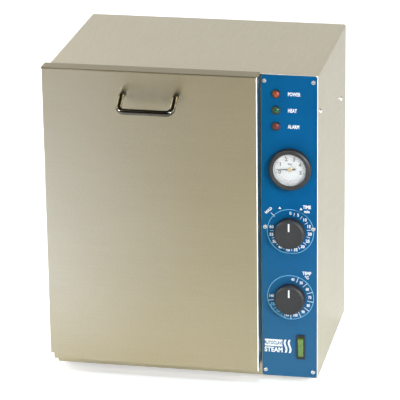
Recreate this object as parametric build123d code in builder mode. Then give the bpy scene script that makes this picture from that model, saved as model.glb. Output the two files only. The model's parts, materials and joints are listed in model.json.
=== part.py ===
"""Benchtop autoclave: sheet-steel case, round pressure chamber, drop-down door and control column.

Units are millimetres, +Z is up and the door faces -Y. The origin is the middle of the
bounding box, at the level of the bench. Pieces are grouped by assembly, and each one is
written as its own STEP file.
"""
from build123d import *
import os

os.makedirs("parts", exist_ok=True)

# ---------------------------------------------------------------- case sizes
BODY_W = 364.0
BODY_D = 250.0
BODY_H = 430.0
FOOT_H = 8.0
SHEET = 1.2
FRAME_SHEET = 1.5
COVER_BEND = 3.0
COVER_EDGE = 0.8

LEFT = -180.75
RIGHT = LEFT + BODY_W
FRONT = -105.0
BACK = FRONT + BODY_D
BOTTOM = FOOT_H
TOP = BOTTOM + BODY_H
MID_X = (LEFT + RIGHT) / 2

# ---------------------------------------------------------------- chamber sizes
CHAMBER_X = LEFT + 143.0
CHAMBER_Z = BOTTOM + 225.0
CHAMBER_R = 105.0
VESSEL_WALL = 2.0
VESSEL_R = CHAMBER_R + VESSEL_WALL
VESSEL_BACK = FRONT + 215.0
KNUCKLE_R = 20.0
SEAL_FACE = FRONT + FRAME_SHEET
FLANGE_R = 131.0
FLANGE_T = 10.0
FRAME_HOLE_R = 118.0
JACKET_R = 131.0

# ---------------------------------------------------------------- door sizes
DOOR_LEFT = LEFT - 4.0
DOOR_RIGHT = LEFT + 287.5
DOOR_BOTTOM = BOTTOM + 15.0
DOOR_TOP = BOTTOM + 432.5
DOOR_FRONT = FRONT - 26.0
DOOR_BACK = FRONT - 2.0
DOOR_SHEET = 1.2
DOOR_W = DOOR_RIGHT - DOOR_LEFT
DOOR_X = (DOOR_LEFT + DOOR_RIGHT) / 2
DOOR_EDGE = 1.6
NOTCH_W = 6.0
NOTCH_H = 8.5
LINER_BACK = FRONT - 3.0
LINER_T = 1.0
LINER_BOTTOM = BOTTOM + 42.0
PLATE_R = 114.0
GASKET_IN = 105.5
GASKET_OUT = 111.5

HINGE_Y = FRONT - 18.0
HINGE_Z = BOTTOM + 30.0
PIN_R = 3.0
PIN_L = 9.3
EAR_X = (LEFT + 4.0, LEFT + 276.5)
EAR_T = 3.0
RUNNING = 0.05

HANDLE_X = LEFT + 143.5
HANDLE_Z = BOTTOM + 401.0
HANDLE_R = 4.0
HANDLE_SPAN = 72.0
HANDLE_REACH = 32.0
HANDLE_DROP = 14.0
HANDLE_NECK = 9.0
HANDLE_BEND = 8.0

LOCK_X = CHAMBER_X
LOCK_Z = BOTTOM + 398.0
LOCK_BOLT_R = 4.0

# ---------------------------------------------------------------- control column sizes
PANEL_LEFT = LEFT + 288.5
PANEL_RIGHT = LEFT + 363.2
PANEL_BOTTOM = BOTTOM + 1.0
PANEL_TOP = BOTTOM + 429.0
PANEL_T = 2.0
PANEL_FACE = FRONT - PANEL_T
PANEL_X = (PANEL_LEFT + PANEL_RIGHT) / 2
PANEL_Z = (PANEL_BOTTOM + PANEL_TOP) / 2
PANEL_SCREW_DX = 32.6
PANEL_SCREW_Z = (BOTTOM + 9.6, BOTTOM + 217.0, BOTTOM + 421.3)

CONTROL_X = LEFT + 327.5
GAUGE_Z = BOTTOM + 300.5
TIMER_Z = BOTTOM + 211.5
THERMOSTAT_Z = BOTTOM + 117.0
LAMP_X = LEFT + 308.6
LAMP_Z = (BOTTOM + 403.8, BOTTOM + 381.2, BOTTOM + 359.0)
ROCKER_X = LEFT + 341.5
ROCKER_Z = BOTTOM + 45.5
ROCKER_W = 7.2

GAUGE_BEZEL_R = 28.5
GAUGE_CAN_R = 25.0
GAUGE_BORE_R = 24.0
KNOB_R = 20.5
KNOB_FRONT = FRONT - 17.0
KNOB_BACK = FRONT - 3.2
SHAFT_R = 3.0
BUSH_R = 5.0
ROCKER_TILT = 7.0

# ---------------------------------------------------------------- rear fittings
REAR_REACH = 22.0
EXHAUST_X = LEFT + 103.0
EXHAUST_Z = BOTTOM + 45.0
HOSE_TAIL_R = 4.0
HOSE_SHANK_R = 3.4
HOSE_NUT_H = 5.0
SAFETY_X = CHAMBER_X
SAFETY_Z = CHAMBER_Z + 70.0
GAUGE_PORT_X = CHAMBER_X + 50.0
GAUGE_PORT_Z = CHAMBER_Z + 50.0
INLET_X = LEFT + 305.0
INLET_Z = BOTTOM + 50.0
FUSE_X = (LEFT + 232.0, LEFT + 256.0)
FUSE_Z = BOTTOM + 50.0
FOOT_SITES = [
    (MID_X - 145.0, FRONT + 40.0),
    (MID_X + 145.0, FRONT + 40.0),
    (MID_X - 145.0, BACK - 40.0),
    (MID_X + 145.0, BACK - 40.0),
]
SIDE_SCREW_SITES = [(FRONT + 22.0, BOTTOM + 375.0), (BACK - 44.0, BOTTOM + 335.0)]
REAR_SCREW_X = [LEFT + 30.0, LEFT + 130.0, LEFT + 190.0, RIGHT - 30.0]
REAR_SCREW_Z = BOTTOM + 11.0


def save(piece, label):
    """Name a finished piece and write its STEP file."""
    piece.part.label = label
    export_step(piece.part, f"parts/{label}.step")


def facing(y):
    """Sketch plane at depth y that faces the user: X to the right, Z up, normal -Y."""
    return Plane.XZ.offset(-y)


def turned(x, z):
    """Sketch plane for profiles turned about a front-to-back axis: (radius, y)."""
    return Plane(origin=(x, 0, z), x_dir=(1, 0, 0), z_dir=(0, 0, 1))


def front_axis(x, z):
    """Front-to-back axis through x, z."""
    return Axis((x, 0, z), (0, 1, 0))


def box_between(x0, x1, y0, y1, z0, z1, mode=Mode.ADD):
    """Add or cut a box given by its limits, inside the open BuildPart block."""
    with Locations(((x0 + x1) / 2, (y0 + y1) / 2, (z0 + z1) / 2)):
        Box(x1 - x0, y1 - y0, z1 - z0, mode=mode)


def screw(x, y, z, outward, head_r, head_h, shank_r, shank_l, star=False):
    """Pan-head screw, its head's underside at x, y, z, with a slot or a six-pointed star recess."""
    seat = Plane(origin=(x, y, z), z_dir=outward)
    with Locations(seat):
        Cone(head_r, head_r - 0.3 * head_h, head_h, align=(Align.CENTER, Align.CENTER, Align.MIN))
        Cylinder(shank_r, shank_l, align=(Align.CENTER, Align.CENTER, Align.MAX))
    with Locations(seat.offset(head_h)):
        if star:
            for turn in (0, 60, 120):
                Box(1.1 * head_r, 0.45 * head_r, 2.0, rotation=(0, 0, turn), mode=Mode.SUBTRACT)
        else:
            Box(2.4 * head_r, 0.8, 1.2, mode=Mode.SUBTRACT)


# ================================================================ case
with BuildPart() as base_pan:
    box_between(LEFT + SHEET, RIGHT - SHEET, FRONT + FRAME_SHEET, BACK - SHEET, BOTTOM, BOTTOM + 18)
    box_between(
        LEFT + 2 * SHEET, RIGHT - 2 * SHEET, FRONT + FRAME_SHEET + SHEET, BACK - 2 * SHEET,
        BOTTOM + SHEET, BOTTOM + 19, mode=Mode.SUBTRACT,
    )
    for x, y in FOOT_SITES:
        with Locations((x, y, BOTTOM)):
            Cylinder(2.5, 10, mode=Mode.SUBTRACT)
    for x in REAR_SCREW_X:
        with BuildSketch(facing(BACK)):
            with Locations((x, REAR_SCREW_Z)):
                Circle(1.6)
        extrude(amount=6, mode=Mode.SUBTRACT)
    for side in (-1, 1):
        with BuildSketch(facing(FRONT)):
            with Locations((PANEL_X + side * PANEL_SCREW_DX, PANEL_SCREW_Z[0])):
                Circle(1.6)
        extrude(amount=-6, mode=Mode.SUBTRACT)
save(base_pan, "base_pan")

with BuildPart() as outer_cover:
    with BuildSketch(facing(BACK)) as cover_section:
        with Locations(((LEFT + RIGHT) / 2, (BOTTOM + TOP) / 2)):
            Rectangle(BODY_W, BODY_H)
        fillet(cover_section.vertices().group_by(Axis.Y)[-1], COVER_BEND)
    extrude(amount=BODY_D)
    front_edges = outer_cover.edges().group_by(Axis.Y)[0]
    fillet(front_edges - front_edges.sort_by(Axis.Z)[:1], COVER_EDGE)
    with BuildSketch(facing(BACK)) as cover_hollow:
        with Locations(((LEFT + RIGHT) / 2, (BOTTOM + TOP - SHEET) / 2)):
            Rectangle(BODY_W - 2 * SHEET, BODY_H - SHEET)
        fillet(cover_hollow.vertices().group_by(Axis.Y)[-1], COVER_BEND - SHEET)
    extrude(amount=BODY_D, mode=Mode.SUBTRACT)
    for y, z in SIDE_SCREW_SITES:
        with BuildSketch(Plane.YZ.offset(LEFT - 1)):
            with Locations((y, z)):
                Circle(1.6)
        extrude(amount=BODY_W + 2, mode=Mode.SUBTRACT)
save(outer_cover, "outer_cover")

with BuildPart() as rear_panel:
    box_between(
        LEFT + SHEET, RIGHT - SHEET, BACK - SHEET, BACK, BOTTOM, TOP - SHEET - COVER_BEND,
    )
    for side in (LEFT + SHEET, RIGHT - 2 * SHEET):
        box_between(side, side + SHEET, BACK - 52, BACK - SHEET, BOTTOM + 20, TOP - SHEET - COVER_BEND)
    for y, z in SIDE_SCREW_SITES:
        with BuildSketch(Plane.YZ.offset(LEFT)):
            with Locations((y, z)):
                Circle(1.6)
        extrude(amount=BODY_W, mode=Mode.SUBTRACT)
    with BuildSketch(facing(BACK)):
        with Locations((LEFT + 285, BOTTOM + 330)):
            with GridLocations(52, 9, 2, 9):
                SlotOverall(42, 4)
        for x in REAR_SCREW_X:
            with Locations((x, REAR_SCREW_Z)):
                Circle(1.6)
        with Locations((EXHAUST_X, EXHAUST_Z)):
            Circle(HOSE_TAIL_R + 0.3)
        with Locations((SAFETY_X, SAFETY_Z)):
            Circle(9)
        with Locations((INLET_X, INLET_Z)):
            Rectangle(27.6, 20.2)
        for x in FUSE_X:
            with Locations((x, FUSE_Z)):
                Circle(6.2)
    extrude(amount=SHEET, mode=Mode.SUBTRACT)
save(rear_panel, "rear_panel")

with BuildPart() as front_frame:
    box_between(
        LEFT + SHEET, RIGHT - SHEET, FRONT, FRONT + FRAME_SHEET, BOTTOM, TOP - SHEET - COVER_BEND + 1,
    )
    for side in (LEFT + SHEET, RIGHT - 2 * SHEET):
        box_between(side, side + SHEET, FRONT + FRAME_SHEET, FRONT + 32, BOTTOM + 20, TOP - 8)
    for y, z in SIDE_SCREW_SITES:
        with BuildSketch(Plane.YZ.offset(LEFT)):
            with Locations((y, z)):
                Circle(1.6)
        extrude(amount=BODY_W, mode=Mode.SUBTRACT)
    with BuildSketch(facing(FRONT)):
        with Locations((CHAMBER_X, CHAMBER_Z)):
            Circle(FRAME_HOLE_R)
            with PolarLocations(124.5, 8, start_angle=22.5):
                Circle(2.6)
        with Locations((LEFT + 326, BOTTOM + 215.5)):
            Rectangle(56, 396)
        with Locations((LOCK_X, LOCK_Z)):
            Circle(LOCK_BOLT_R + 0.5)
        for x in EAR_X:
            with Locations((x + EAR_T / 2, HINGE_Z)):
                Rectangle(EAR_T + 1, 13)
        for side in (-1, 1):
            for z in PANEL_SCREW_Z:
                with Locations((PANEL_X + side * PANEL_SCREW_DX, z)):
                    Circle(1.6)
    extrude(amount=-FRAME_SHEET, mode=Mode.SUBTRACT)
save(front_frame, "front_frame")

with BuildPart() as rubber_feet:
    for x, y in FOOT_SITES:
        with BuildSketch(Plane.XY.offset(BOTTOM)):
            with Locations((x, y)):
                Circle(11.5)
        extrude(amount=-FOOT_H, taper=5)
        with BuildSketch(Plane.XY):
            with Locations((x, y)):
                Circle(5.8)
        extrude(amount=4, mode=Mode.SUBTRACT)
        with BuildSketch(Plane.XY):
            with Locations((x, y)):
                Circle(2.4)
        extrude(amount=FOOT_H, mode=Mode.SUBTRACT)
save(rubber_feet, "rubber_feet")

with BuildPart() as case_screws:
    for y, z in SIDE_SCREW_SITES:
        screw(RIGHT, y, z, (1, 0, 0), 3.2, 1.5, 1.6, 4.0)
        screw(LEFT, y, z, (-1, 0, 0), 3.2, 1.5, 1.6, 4.0)
    for x in REAR_SCREW_X:
        screw(x, BACK, REAR_SCREW_Z, (0, 1, 0), 3.2, 1.5, 1.6, 4.0)
    for x, y in FOOT_SITES:
        screw(x, y, 4.0, (0, 0, -1), 4.6, 2.4, 2.4, 9.0)
save(case_screws, "case_screws")

# ================================================================ control column
with BuildPart() as control_panel:
    with BuildSketch(facing(FRONT)):
        with Locations((PANEL_X, PANEL_Z)):
            RectangleRounded(PANEL_RIGHT - PANEL_LEFT, PANEL_TOP - PANEL_BOTTOM, 4)
        for side in (-1, 1):
            for z in PANEL_SCREW_Z:
                with Locations((PANEL_X + side * PANEL_SCREW_DX, z)):
                    Circle(1.6, mode=Mode.SUBTRACT)
        with Locations((CONTROL_X, GAUGE_Z)):
            Circle(GAUGE_CAN_R + 0.2, mode=Mode.SUBTRACT)
        with Locations((CONTROL_X, TIMER_Z), (CONTROL_X, THERMOSTAT_Z)):
            Circle(BUSH_R, mode=Mode.SUBTRACT)
        for z in LAMP_Z:
            with Locations((LAMP_X, z)):
                Circle(5.0, mode=Mode.SUBTRACT)
        with Locations((ROCKER_X, ROCKER_Z)):
            Rectangle(ROCKER_W + 2.4, 31.2, mode=Mode.SUBTRACT)
    extrude(amount=PANEL_T)
save(control_panel, "control_panel")

with BuildPart() as panel_screws:
    for side in (-1, 1):
        for z in PANEL_SCREW_Z:
            screw(PANEL_X + side * PANEL_SCREW_DX, PANEL_FACE, z, (0, -1, 0), 3.0, 1.6, 1.6, 7.0, star=True)
save(panel_screws, "panel_screws")

LENS_DOME_R = 5.5
LAMP_NAMES = ("heating_lamp_lens", "ready_lamp_lens", "fault_lamp_lens")
with BuildPart() as lamp_bezels:
    for z in LAMP_Z:
        with BuildSketch(turned(LAMP_X, z)):
            with BuildLine():
                Polyline(
                    (4.5, PANEL_FACE - 2.2), (5.5, PANEL_FACE - 2.2), (5.9, PANEL_FACE - 1.8),
                    (5.9, PANEL_FACE), (4.95, PANEL_FACE), (4.95, FRONT + 14), (4.5, FRONT + 14),
                    close=True,
                )
            make_face()
        revolve(axis=front_axis(LAMP_X, z))
save(lamp_bezels, "lamp_bezels")

for name, z in zip(LAMP_NAMES, LAMP_Z):
    with BuildPart() as lamp_lens:
        with BuildSketch(turned(LAMP_X, z)):
            with BuildLine():
                Line((0, FRONT + 12), (4.4, FRONT + 12))
                Line((4.4, FRONT + 12), (4.4, PANEL_FACE - 2.0))
                RadiusArc((4.4, PANEL_FACE - 2.0), (0, PANEL_FACE - 4.2), LENS_DOME_R)
                Line((0, PANEL_FACE - 4.2), (0, FRONT + 12))
            make_face()
        revolve(axis=front_axis(LAMP_X, z))
    save(lamp_lens, name)

# ---------------------------------------------------------------- pressure gauge
with BuildPart() as gauge_case:
    with BuildSketch(turned(CONTROL_X, GAUGE_Z)):
        with BuildLine():
            Line((22.2, PANEL_FACE - 8), (25.5, PANEL_FACE - 9))
            ThreePointArc(
                (25.5, PANEL_FACE - 9), (27.6, PANEL_FACE - 8.1), (GAUGE_BEZEL_R, PANEL_FACE - 6),
            )
            Polyline(
                (GAUGE_BEZEL_R, PANEL_FACE - 6), (GAUGE_BEZEL_R, PANEL_FACE), (GAUGE_CAN_R, PANEL_FACE),
                (GAUGE_CAN_R, FRONT + 30), (0, FRONT + 30), (0, FRONT + 28), (GAUGE_BORE_R, FRONT + 28),
                (GAUGE_BORE_R, PANEL_FACE - 6.5), (22.2, PANEL_FACE - 6.5), (22.2, PANEL_FACE - 8),
            )
        make_face()
    revolve(axis=front_axis(CONTROL_X, GAUGE_Z))
save(gauge_case, "gauge_case")

with BuildPart() as gauge_lens:
    with BuildSketch(facing(PANEL_FACE - 5.0)):
        with Locations((CONTROL_X, GAUGE_Z)):
            Circle(GAUGE_BORE_R)
    extrude(amount=1.5)
save(gauge_lens, "gauge_lens")

with BuildPart() as gauge_dial:
    with BuildSketch(facing(PANEL_FACE - 1.0)):
        with Locations((CONTROL_X, GAUGE_Z)):
            Circle(GAUGE_BORE_R)
            Circle(1.4, mode=Mode.SUBTRACT)
    extrude(amount=0.8)
save(gauge_dial, "gauge_dial")

with BuildPart() as gauge_movement:
    box_between(
        CONTROL_X - 11, CONTROL_X + 11, FRONT + 4, FRONT + 22, GAUGE_Z - 9, GAUGE_Z + 9,
    )
    with BuildSketch(facing(FRONT + 4)):
        with Locations((CONTROL_X, GAUGE_Z)):
            Circle(1.0 + RUNNING)
    extrude(amount=-12, mode=Mode.SUBTRACT)
    with BuildSketch(facing(FRONT + 22)):
        with Locations((CONTROL_X, GAUGE_Z)):
            Circle(3.0)
    extrude(amount=-6)
save(gauge_movement, "gauge_movement")

NEEDLE_REST = 184.0
with BuildPart() as gauge_needle:
    with BuildSketch(facing(PANEL_FACE - 3.0)):
        with Locations(Location((CONTROL_X, GAUGE_Z), NEEDLE_REST)):
            Polygon((-7.5, -1.3), (-7.5, 1.3), (18.5, 0.35), (18.5, -0.35), align=None)
    extrude(amount=0.5)
    with BuildSketch(facing(PANEL_FACE - 2.4)):
        with Locations((CONTROL_X, GAUGE_Z)):
            Circle(2.6)
    extrude(amount=1.8)
    with BuildSketch(facing(PANEL_FACE - 2.4)):
        with Locations((CONTROL_X, GAUGE_Z)):
            Circle(1.0)
    extrude(amount=-14)
save(gauge_needle, "gauge_needle")

# ---------------------------------------------------------------- knobs, shafts, timer and thermostat
for name, z in (("timer", TIMER_Z), ("temperature", THERMOSTAT_Z)):
    with BuildPart() as knob:
        with BuildSketch(facing(KNOB_BACK)):
            with Locations((CONTROL_X, z)):
                Circle(KNOB_R)
                with PolarLocations(KNOB_R + 0.75, 36):
                    Circle(1.25, mode=Mode.SUBTRACT)
        extrude(amount=KNOB_BACK - KNOB_FRONT)
        with BuildSketch(turned(CONTROL_X, z)):
            with BuildLine():
                Polyline(
                    (KNOB_R - 2.2, KNOB_FRONT - 0.1), (KNOB_R + 1, KNOB_FRONT - 0.1),
                    (KNOB_R + 1, KNOB_FRONT + 3.0), (KNOB_R - 0.4, KNOB_FRONT + 2.0), close=True,
                )
            make_face()
        revolve(axis=front_axis(CONTROL_X, z), mode=Mode.SUBTRACT)
        with BuildSketch(facing(KNOB_BACK)):
            with Locations((CONTROL_X, z)):
                Circle(KNOB_R - 3)
                Circle(BUSH_R + 2, mode=Mode.SUBTRACT)
        extrude(amount=8, mode=Mode.SUBTRACT)
        with BuildSketch(facing(KNOB_BACK)):
            with Locations((CONTROL_X, z)):
                Circle(BUSH_R + 0.6)
        extrude(amount=3.5, mode=Mode.SUBTRACT)
        with BuildSketch(facing(KNOB_BACK)):
            with Locations((CONTROL_X, z)):
                Circle(SHAFT_R)
        extrude(amount=11, mode=Mode.SUBTRACT)
    save(knob, f"{name}_knob")
    with BuildPart() as shaft:
        with BuildSketch(facing(FRONT + 12)):
            with Locations((CONTROL_X, z)):
                Circle(SHAFT_R)
        extrude(amount=FRONT + 12 - (KNOB_BACK - 11))
    save(shaft, f"{name}_shaft")

CONTROL_HALF = 24.0
for name, z, depth in (("timer_body", TIMER_Z, 34.0), ("thermostat_body", THERMOSTAT_Z, 26.0)):
    with BuildPart() as control_body:
        box_between(
            CONTROL_X - CONTROL_HALF, CONTROL_X + CONTROL_HALF, FRONT, FRONT + depth,
            z - CONTROL_HALF, z + CONTROL_HALF,
        )
        with BuildSketch(facing(FRONT)):
            with Locations((CONTROL_X, z)):
                Circle(BUSH_R)
        extrude(amount=PANEL_T + 2.5)
        with BuildSketch(facing(PANEL_FACE - 3)):
            with Locations((CONTROL_X, z)):
                Circle(SHAFT_R + RUNNING)
        extrude(amount=-20, mode=Mode.SUBTRACT)
    save(control_body, name)

# ---------------------------------------------------------------- power switch
with BuildPart() as rocker_housing:
    with BuildSketch(facing(PANEL_FACE)):
        with Locations((ROCKER_X, ROCKER_Z)):
            RectangleRounded(ROCKER_W + 4.2, 35.0, 1.2)
    extrude(amount=2.0)
    well = ROCKER_W / 2 + 0.2
    box_between(
        ROCKER_X - well - 0.9, ROCKER_X + well + 0.9, PANEL_FACE, FRONT + 22,
        ROCKER_Z - 15.5, ROCKER_Z + 15.5,
    )
    box_between(
        ROCKER_X - well, ROCKER_X + well, PANEL_FACE - 3, FRONT + 12,
        ROCKER_Z - 14.7, ROCKER_Z + 14.7, mode=Mode.SUBTRACT,
    )
save(rocker_housing, "rocker_housing")

ROCKER_PIVOT_Y = FRONT + 3.0
with BuildPart() as power_rocker:
    rocker_plane = Plane(
        origin=(ROCKER_X, ROCKER_PIVOT_Y, ROCKER_Z),
        x_dir=Vector(0, 1, 0).rotate(Axis.X, ROCKER_TILT),
        z_dir=(1, 0, 0),
    )
    with BuildSketch(rocker_plane.offset(-ROCKER_W / 2)):
        with BuildLine():
            Polyline((-7.5, 13.4), (4.0, 13.4), (7.0, 2.0), (7.0, -2.0), (4.0, -13.4), (-7.5, -13.4))
            ThreePointArc((-7.5, -13.4), (-6.3, 0), (-7.5, 13.4))
        make_face()
    extrude(amount=ROCKER_W)
save(power_rocker, "power_rocker")

# ================================================================ chamber
with BuildPart() as chamber_vessel:
    with BuildSketch(turned(CHAMBER_X, CHAMBER_Z)) as vessel_wall:
        with BuildLine():
            Line((CHAMBER_R, SEAL_FACE), (VESSEL_R, SEAL_FACE))
            Line((VESSEL_R, SEAL_FACE), (VESSEL_R, VESSEL_BACK - KNUCKLE_R))
            RadiusArc(
                (VESSEL_R, VESSEL_BACK - KNUCKLE_R), (VESSEL_R - KNUCKLE_R, VESSEL_BACK), -KNUCKLE_R,
            )
            Line((VESSEL_R - KNUCKLE_R, VESSEL_BACK), (0, VESSEL_BACK))
            Line((0, VESSEL_BACK), (0, VESSEL_BACK - VESSEL_WALL))
            Line(
                (0, VESSEL_BACK - VESSEL_WALL), (VESSEL_R - KNUCKLE_R, VESSEL_BACK - VESSEL_WALL),
            )
            RadiusArc(
                (VESSEL_R - KNUCKLE_R, VESSEL_BACK - VESSEL_WALL),
                (CHAMBER_R, VESSEL_BACK - KNUCKLE_R), KNUCKLE_R - VESSEL_WALL,
            )
            Line((CHAMBER_R, VESSEL_BACK - KNUCKLE_R), (CHAMBER_R, SEAL_FACE))
        make_face()
    revolve(axis=front_axis(CHAMBER_X, CHAMBER_Z))
    ports = [(EXHAUST_X, CHAMBER_Z - 40), (SAFETY_X, SAFETY_Z), (GAUGE_PORT_X, GAUGE_PORT_Z)]
    with BuildSketch(facing(VESSEL_BACK)):
        with Locations(*ports):
            Circle(7)
    extrude(amount=-6)
    with BuildSketch(facing(VESSEL_BACK + 7)):
        with Locations(*ports):
            Circle(3)
    extrude(amount=12, mode=Mode.SUBTRACT)
save(chamber_vessel, "chamber_vessel")

with BuildPart() as chamber_flange:
    with BuildSketch(facing(SEAL_FACE)):
        with Locations((CHAMBER_X, CHAMBER_Z)):
            Circle(FLANGE_R)
            Circle(VESSEL_R, mode=Mode.SUBTRACT)
            with PolarLocations(124.5, 8, start_angle=22.5):
                Circle(2.5, mode=Mode.SUBTRACT)
    extrude(amount=-FLANGE_T)
save(chamber_flange, "chamber_flange")

with BuildPart() as flange_bolts:
    with BuildSketch(facing(FRONT)):
        with Locations((CHAMBER_X, CHAMBER_Z)):
            with PolarLocations(124.5, 8, start_angle=22.5):
                RegularPolygon(4.4, 6)
    extrude(amount=1.8)
    with BuildSketch(facing(FRONT)):
        with Locations((CHAMBER_X, CHAMBER_Z)):
            with PolarLocations(124.5, 8, start_angle=22.5):
                Circle(2.5)
    extrude(amount=-11)
save(flange_bolts, "flange_bolts")

HEATER_FROM = FRONT + 60.0
HEATER_TO = FRONT + 170.0
with BuildPart() as band_heater:
    with BuildSketch(facing(HEATER_TO)):
        with Locations((CHAMBER_X, CHAMBER_Z)):
            Circle(VESSEL_R + 3)
            Circle(VESSEL_R, mode=Mode.SUBTRACT)
        with Locations((CHAMBER_X, CHAMBER_Z - VESSEL_R)):
            Rectangle(10, 20, mode=Mode.SUBTRACT)
    extrude(amount=HEATER_TO - HEATER_FROM)
save(band_heater, "band_heater")

with BuildPart() as insulation_jacket:
    with BuildSketch(facing(VESSEL_BACK - 3)):
        with Locations((CHAMBER_X, CHAMBER_Z)):
            Circle(JACKET_R)
            Circle(VESSEL_R + 4, mode=Mode.SUBTRACT)
    extrude(amount=VESSEL_BACK - 3 - (SEAL_FACE + FLANGE_T + 1))
save(insulation_jacket, "insulation_jacket")

SADDLE_Y = (FRONT + 45.0, FRONT + 180.0)
with BuildPart() as chamber_cradle:
    for y in SADDLE_Y:
        with BuildSketch(facing(y + 3)):
            with Locations((CHAMBER_X, BOTTOM + SHEET + 65)):
                Rectangle(150, 130)
            with Locations((CHAMBER_X, CHAMBER_Z)):
                Circle(JACKET_R, mode=Mode.SUBTRACT)
            with Locations((CHAMBER_X, BOTTOM + 45)):
                Circle(28, mode=Mode.SUBTRACT)
        extrude(amount=3)
        box_between(CHAMBER_X - 75, CHAMBER_X + 75, y + 3, y + 23, BOTTOM + SHEET, BOTTOM + SHEET + 3)
save(chamber_cradle, "chamber_cradle")

# ---------------------------------------------------------------- rack and trays
TRAY_W = 140.0
TRAY_D = 186.0
TRAY_H = 14.0
TRAY_CORNER = 4.0
TRAY_FRONT = FRONT + 12.0
TRAY_FLOORS = {"tray_lower": CHAMBER_Z - 47.0, "tray_middle": CHAMBER_Z - 3.0, "tray_upper": CHAMBER_Z + 41.0}
RAIL_R = 2.5
RAIL_X = TRAY_W / 2 - 8
POST_X = TRAY_W / 2 + 6

for name, floor in TRAY_FLOORS.items():
    with BuildPart() as tray:
        with BuildSketch(Plane.XY.offset(floor)):
            with Locations((CHAMBER_X, TRAY_FRONT + TRAY_D / 2)):
                RectangleRounded(TRAY_W, TRAY_D, TRAY_CORNER)
        extrude(amount=TRAY_H)
        with BuildSketch(Plane.XY.offset(floor + 1)):
            with Locations((CHAMBER_X, TRAY_FRONT + TRAY_D / 2)):
                RectangleRounded(TRAY_W - 2, TRAY_D - 2, TRAY_CORNER - 1)
        extrude(amount=TRAY_H, mode=Mode.SUBTRACT)
        with BuildSketch(Plane.XY.offset(floor)):
            with Locations((CHAMBER_X, TRAY_FRONT + TRAY_D / 2)):
                with GridLocations(24, 30, 4, 5):
                    SlotOverall(16, 4)
        extrude(amount=1, mode=Mode.SUBTRACT)
    save(tray, name)

with BuildPart() as tray_rack:
    for y in (TRAY_FRONT + 22, TRAY_FRONT + TRAY_D - 22):
        box_between(
            CHAMBER_X - POST_X - 4, CHAMBER_X - POST_X, y - 5, y + 5, CHAMBER_Z - 62, CHAMBER_Z + 48,
        )
        box_between(
            CHAMBER_X + POST_X, CHAMBER_X + POST_X + 4, y - 5, y + 5, CHAMBER_Z - 62, CHAMBER_Z + 48,
        )
        for floor in TRAY_FLOORS.values():
            box_between(
                CHAMBER_X - POST_X, CHAMBER_X + POST_X, y - 5, y + 5, floor - 2.5, floor,
            )
    for side in (-1, 1):
        x = CHAMBER_X + side * (POST_X + 2)
        box_between(
            x - 2, x + 2, TRAY_FRONT + 27, TRAY_FRONT + TRAY_D - 27, CHAMBER_Z - 62, CHAMBER_Z - 56,
        )
save(tray_rack, "tray_rack")

# ================================================================ steam line and rear fittings
with BuildPart() as exhaust_pipe:
    with BuildLine() as exhaust_route:
        FilletPolyline(
            (EXHAUST_X, VESSEL_BACK + 6, CHAMBER_Z - 40),
            (EXHAUST_X, VESSEL_BACK + 20, CHAMBER_Z - 40),
            (EXHAUST_X, VESSEL_BACK + 20, BOTTOM + 60),
            radius=10,
        )
    with BuildSketch(Plane(exhaust_route.line @ 0, z_dir=exhaust_route.line % 0)):
        Circle(3)
        Circle(2, mode=Mode.SUBTRACT)
    sweep()
save(exhaust_pipe, "exhaust_pipe")

VALVE_Y = VESSEL_BACK + 20.0
with BuildPart() as steam_valve:
    box_between(
        EXHAUST_X - 13, EXHAUST_X + 13, VALVE_Y - 13, VALVE_Y + 11, BOTTOM + 32, BOTTOM + 60,
    )
    with BuildSketch(Plane.XY.offset(BOTTOM + 32)):
        with Locations((EXHAUST_X, VALVE_Y - 1)):
            Circle(11)
    extrude(amount=SHEET - 32)
save(steam_valve, "steam_valve")

with BuildPart() as exhaust_fitting:
    with BuildSketch(turned(EXHAUST_X, EXHAUST_Z)):
        with BuildLine():
            Polyline(
                (2.5, VALVE_Y + 11), (HOSE_SHANK_R, VALVE_Y + 11), (HOSE_SHANK_R, BACK + HOSE_NUT_H),
                (HOSE_TAIL_R, BACK + HOSE_NUT_H), (HOSE_TAIL_R, BACK + REAR_REACH - 1),
                (HOSE_TAIL_R - 0.8, BACK + REAR_REACH), (2.5, BACK + REAR_REACH), close=True,
            )
        make_face()
    revolve(axis=front_axis(EXHAUST_X, EXHAUST_Z))
    with BuildSketch(facing(BACK)):
        with Locations((EXHAUST_X, EXHAUST_Z)):
            RegularPolygon(9, 6)
            Circle(HOSE_SHANK_R - 0.4, mode=Mode.SUBTRACT)
    extrude(amount=-HOSE_NUT_H)
save(exhaust_fitting, "exhaust_fitting")

with BuildPart() as safety_valve:
    with BuildSketch(turned(SAFETY_X, SAFETY_Z)):
        with BuildLine():
            Polyline(
                (0, VESSEL_BACK + 6), (8, VESSEL_BACK + 6), (8, BACK + 8), (6, BACK + 10),
                (6, BACK + 15), (2, BACK + 15), (2, BACK + 18), (4, BACK + 18), (4, BACK + 20),
                (0, BACK + 20), close=True,
            )
        make_face()
    revolve(axis=front_axis(SAFETY_X, SAFETY_Z))
save(safety_valve, "safety_valve")

with BuildPart() as overheat_cutout:
    with BuildSketch(facing(VESSEL_BACK)):
        with Locations((CHAMBER_X + 40, CHAMBER_Z - 40)):
            Circle(9)
    extrude(amount=-10)
    box_between(
        CHAMBER_X + 26, CHAMBER_X + 54, VESSEL_BACK, VESSEL_BACK + 1.5, CHAMBER_Z - 46, CHAMBER_Z - 34,
    )
save(overheat_cutout, "overheat_cutout")

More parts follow.
